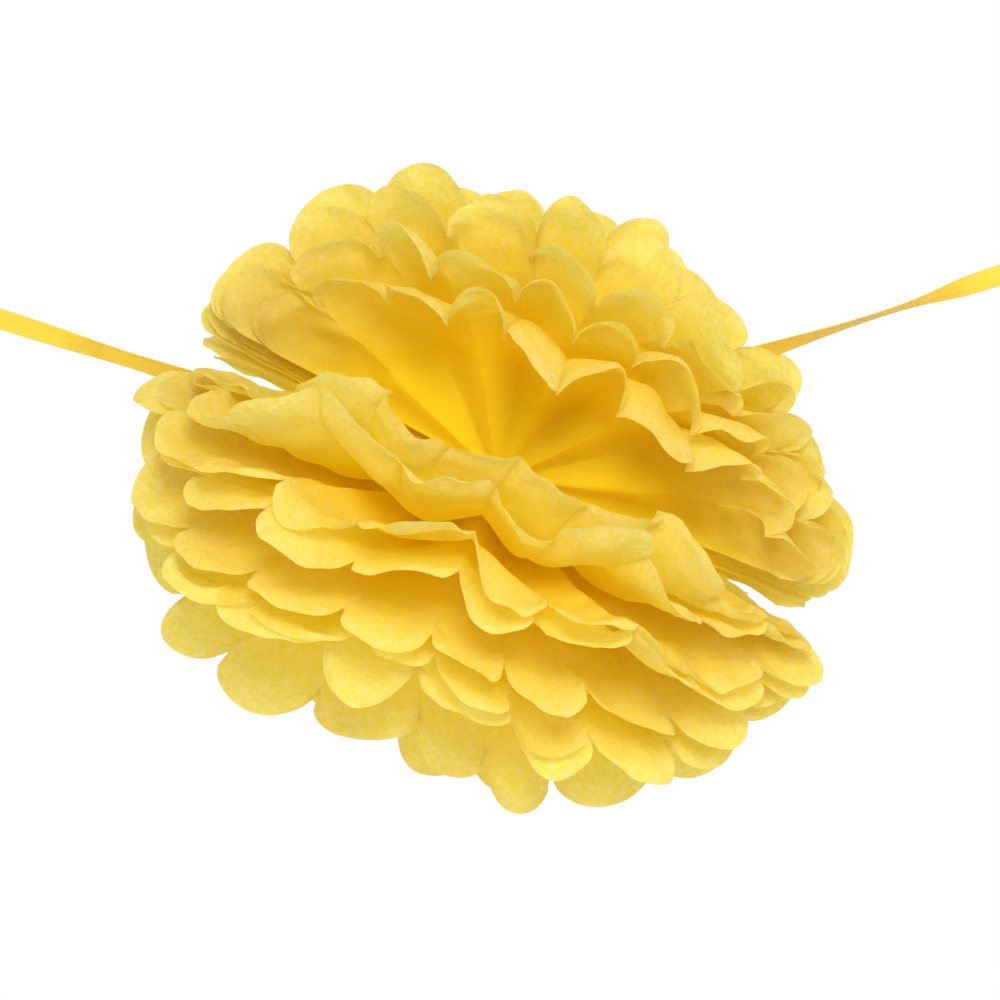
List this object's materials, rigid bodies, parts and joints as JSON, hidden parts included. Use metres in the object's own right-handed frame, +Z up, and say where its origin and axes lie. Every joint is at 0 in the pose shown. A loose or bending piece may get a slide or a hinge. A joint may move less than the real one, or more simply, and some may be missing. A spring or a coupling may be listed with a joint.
{
  "type": "hanging tissue paper pom pom",
  "caption": "Round pom pom of pleated tissue sheets with rounded petals, tied by a wire at the waist and hung from a flat ribbon with a loop at each end.",
  "frame": {"origin": "the waist wire, where the ribbon carries the pom pom", "axes": "+Z up as it hangs, +X to the right along the ribbon, +Y to the back"},
  "size_m": [0.4511, 0.1983, 0.2238],
  "materials": {
    "tissue": "thin matt yellow tissue paper that lets light through",
    "ribbon": "flat deep yellow ribbon",
    "wire": "thin yellow coated wire"
  },
  "bodies": {
    "root": {"tissue_sheet_01": "tissue", "tissue_sheet_02": "tissue", "tissue_sheet_03": "tissue", "tissue_sheet_04": "tissue", "tissue_sheet_05": "tissue", "tissue_sheet_06": "tissue", "tissue_sheet_07": "tissue", "tissue_sheet_08": "tissue", "tissue_sheet_09": "tissue", "tissue_sheet_10": "tissue", "waist_wire": "wire", "ribbon": "ribbon", "left_loop_thread": "ribbon", "right_loop_thread": "ribbon"}
  },
  "joints": []
}
